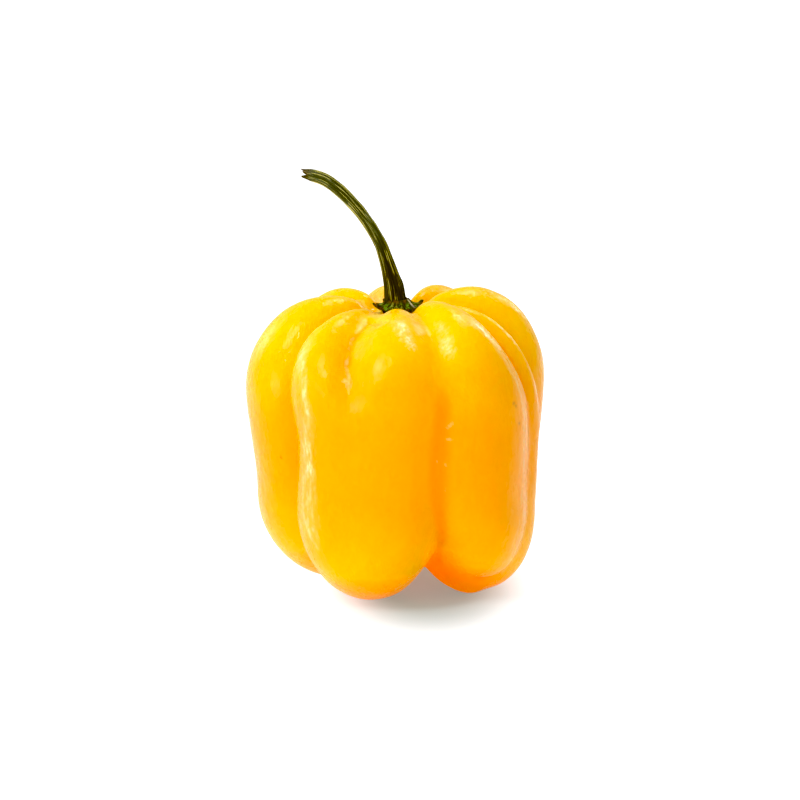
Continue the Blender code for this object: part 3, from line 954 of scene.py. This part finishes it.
class CHILLI_OT_calyx(bpy.types.Operator):
    """Builds the calyx: a thin collar round the stem's foot with short dried points"""

    bl_idname = "chilli.calyx"
    bl_label = "Calyx"

    def execute(self, context):
        settings = context.scene.chilli_stem
        rings, grain = [], []
        values = {name: [] for name in STALK_LAYERS}
        for step in range(CALYX_STEPS):
            bearing = 360 * step / CALYX_STEPS
            length = lift = tip = 0.0
            for middle, (past, rise, half_width) in CALYX_POINTS.items():
                off = abs((bearing - middle + 180) % 360 - 180) / half_width
                if off < 1:
                    share = (1 - off) ** 1.5
                    length, lift, tip = length + past * share, lift + rise * share, tip + share
            turn = math.radians(bearing)
            x, y = math.cos(turn), math.sin(turn)
            crumple = noise.noise(Vector((x * 3, y * 3, 1.5)))
            ripple = noise.noise(Vector((x * 9, y * 9, 4.5)))
            tear = noise.noise(Vector((x * 22, y * 22, 2.5)))
            pleat = math.cos(13 * turn + 2 * math.sin(2 * turn)) + 1.2 * ripple
            reach = CALYX_REACH + length + 0.4 * crumple + 0.5 * ripple + 0.5 * tear
            rim = CALYX_RIM + lift + 0.3 * crumple + 0.6 * ripple + 0.7 * tear
            section = (  # out, height, how brown and dark
                (1.45, 46.2, 0.9), (1.5, 48.3, 0.9), (1.95, 47.65 + 0.08 * pleat, 0.85),
                (2.35, 47.20 + 0.11 * pleat, 0.6), (2.85, 46.90 + 0.15 * pleat + 0.05 * lift, 0.3),
                (0.55 * reach + 1.3, 46.72 + 0.16 * pleat + 0.25 * lift + 0.2 * tear, 0.1 + 0.5 * tip),
                (reach - 0.60, 0.25 * 46.7 + 0.75 * rim + 0.06 * pleat, 0.45 + 0.8 * tear + 0.7 * tip),
                (reach - 0.22, rim + 0.18, 1.0), (reach, rim, 1.0), (reach - 0.20, rim - 0.25, 1.0),
                (0.8 * reach + 0.3, 46.25 + 0.5 * lift, 0.7), (0.5 * reach + 0.8, 46.1, 0.6),
            )
            rings.append([Vector((CALYX_X + out * x, out * y, z)) * MM for out, z, _ in section])
            aside = (bearing - SCAR_BEARING + 180) % 360 - 180
            for number, (out, _, brown) in enumerate(section):
                dark, light = veins((x * 1.6, y * 1.6), 1.6 * out, 7.0)
                darkened = 0.9 * max(0.0, brown - 0.2) * (1 - 0.6 * light)
                off_scar = (aside + 6 * math.sin(2.2 * out)) / SCAR_WIDTH
                scar = math.exp(-(off_scar**2)) * (0.8 + 0.8 * crumple)
                values["dry"].append(brown)
                values["worn"].append(0.0)
                values["dark"].append(min(1.0, 0.95 * dark + darkened))
                values["light"].append(light * (0.8 - 0.5 * brown))
                values["edge"].append(min(1.0, scar) * (number < 8))  # on the upper side only
                grain.append((2 * x, 2 * y, out * 0.8))
        mesh = finished_mesh("calyx_collar", loft(rings, None, close_loop=True))
        for name, numbers in values.items():
            put_attribute(mesh, name, numbers)
        put_vectors(mesh, "grain", grain)
        obj = new_piece("calyx_collar", mesh, "calyx")
        refine = obj.modifiers.new("refine", "SUBSURF")
        refine.levels = refine.render_levels = 1
        looks = stalk_material("calyx_green", settings.calyx_green, settings.scar, settings, blotched=0.9)
        obj.data.materials.append(looks)
        return {"FINISHED"}


def add_softbox(name, bearing, elevation, width, length, power):
    """A soft light at this bearing and elevation from the fruit, width across by length up."""
    lamp = bpy.data.lights.new(name, "AREA")
    lamp.shape, lamp.size, lamp.size_y, lamp.energy = "RECTANGLE", width, length, power
    turn, rise = math.radians(bearing), math.radians(elevation)
    away = Vector((math.cos(turn) * math.cos(rise), math.sin(turn) * math.cos(rise), math.sin(rise)))
    obj = bpy.data.objects.new(name, lamp)
    obj.location = LIGHTS_AIM + away * LIGHT_DISTANCE
    obj.rotation_mode = "QUATERNION"
    obj.rotation_quaternion = (-away).to_track_quat("-Z", "Y")
    bpy.context.scene.collection.objects.link(obj)


def white_surroundings():
    """White to the eye; as light, dim in front of the fruit, brighter behind it and at its left."""
    world = bpy.data.worlds.new("white_studio")
    bpy.context.scene.world = world
    world.use_nodes = True
    nodes, link = world.node_tree.nodes, world.node_tree.links.new
    plain, lighting = nodes["Background"], nodes.new("ShaderNodeBackground")
    plain.inputs["Color"].default_value = (1, 1, 1, 1)
    plain.inputs["Strength"].default_value = 1.0
    split = nodes.new("ShaderNodeSeparateXYZ")
    link(nodes.new("ShaderNodeTexCoord").outputs["Generated"], split.inputs[0])
    total = None
    for axis, *numbers in SURROUNDINGS:
        side = nodes.new("ShaderNodeMapRange")
        side.interpolation_type = "SMOOTHSTEP"
        for name, value in zip(("From Min", "From Max", "To Min", "To Max"), numbers):
            side.inputs[name].default_value = value
        link(split.outputs[axis], side.inputs["Value"])
        if total is None:
            total = side.outputs[0]
        else:
            add = nodes.new("ShaderNodeMath")
            link(total, add.inputs[0])
            link(side.outputs[0], add.inputs[1])
            total = add.outputs[0]
    link(total, lighting.inputs["Strength"])
    choose = nodes.new("ShaderNodeMixShader")
    link(nodes.new("ShaderNodeLightPath").outputs["Is Camera Ray"], choose.inputs[0])
    link(lighting.outputs[0], choose.inputs[1])
    link(plain.outputs[0], choose.inputs[2])
    link(choose.outputs[0], nodes["World Output"].inputs["Surface"])


class CHILLI_OT_stage(bpy.types.Operator):
    """Builds the white table, the soft lights and the camera"""

    bl_idname = "chilli.stage"
    bl_label = "Table, lights and camera"

    def execute(self, context):
        settings = context.scene.chilli_stage
        bm = bmesh.new()
        bmesh.ops.create_grid(bm, x_segments=1, y_segments=1, size=TABLE_HALF_WIDTH)
        table = bpy.data.objects.new("white_table", finished_mesh("white_table", bm))
        table.data.materials.append(table_material(settings))
        context.scene.collection.objects.link(table)
        for name, (*placing, share) in LIGHTS.items():
            add_softbox(name, *placing, share * settings.key_power)
        white_surroundings()
        camera = bpy.data.objects.new("camera", bpy.data.cameras.new("camera"))
        camera.data.lens, camera.data.sensor_width, camera.data.clip_start = settings.lens, 36, 0.01
        back = Vector((0, -math.cos(settings.camera_height), math.sin(settings.camera_height)))
        camera.location = CAMERA_TARGET * MM + back * settings.camera_distance
        camera.rotation_mode = "QUATERNION"
        camera.rotation_quaternion = (-back).to_track_quat("-Z", "Y")
        context.scene.collection.objects.link(camera)
        context.scene.camera = camera
        view = context.scene.view_settings
        view.view_transform = "Standard"
        view.use_curve_mapping = True
        view.curve_mapping.black_level = BLACK_LEVEL
        view.curve_mapping.update()
        return {"FINISHED"}


class CHILLI_PT_panel(bpy.types.Panel):
    bl_idname = "CHILLI_PT_panel"
    bl_label = "Chilli Pepper"
    bl_space_type = "VIEW_3D"
    bl_region_type = "UI"
    bl_category = "Chilli"

    def draw(self, context):
        for title, group, operators in PANEL_ROWS:
            box = self.layout.box()
            box.label(text=title)
            settings = getattr(context.scene, group)
            for name in settings.bl_rna.properties.keys():
                if name not in ("rna_type", "name"):
                    box.prop(settings, name)
            for operator in operators:
                box.operator(operator.bl_idname)


PANEL_ROWS = (
    ("Fruit", "chilli_fruit", (CHILLI_OT_fruit,)),
    ("Stem and calyx", "chilli_stem", (CHILLI_OT_calyx, CHILLI_OT_stem)),
    ("Stage", "chilli_stage", (CHILLI_OT_stage,)),
)
GROUPS = {
    "chilli_fruit": ChilliFruitSettings,
    "chilli_stem": ChilliStemSettings,
    "chilli_stage": ChilliStageSettings,
}
OPERATORS = (CHILLI_OT_fruit, CHILLI_OT_calyx, CHILLI_OT_stem, CHILLI_OT_stage)
CLASSES = (*GROUPS.values(), *OPERATORS, CHILLI_PT_panel)


def register():
    for cls in CLASSES:
        bpy.utils.register_class(cls)
    for name, group in GROUPS.items():
        setattr(bpy.types.Scene, name, PointerProperty(type=group))


def unregister():
    for name in GROUPS:
        delattr(bpy.types.Scene, name)
    for cls in reversed(CLASSES):
        bpy.utils.unregister_class(cls)


def main():
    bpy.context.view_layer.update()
    register()
    bpy.ops.chilli.fruit()
    bpy.ops.chilli.calyx()
    bpy.ops.chilli.stem()
    bpy.ops.chilli.stage()
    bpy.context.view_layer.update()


if __name__ == "__main__":
    main()
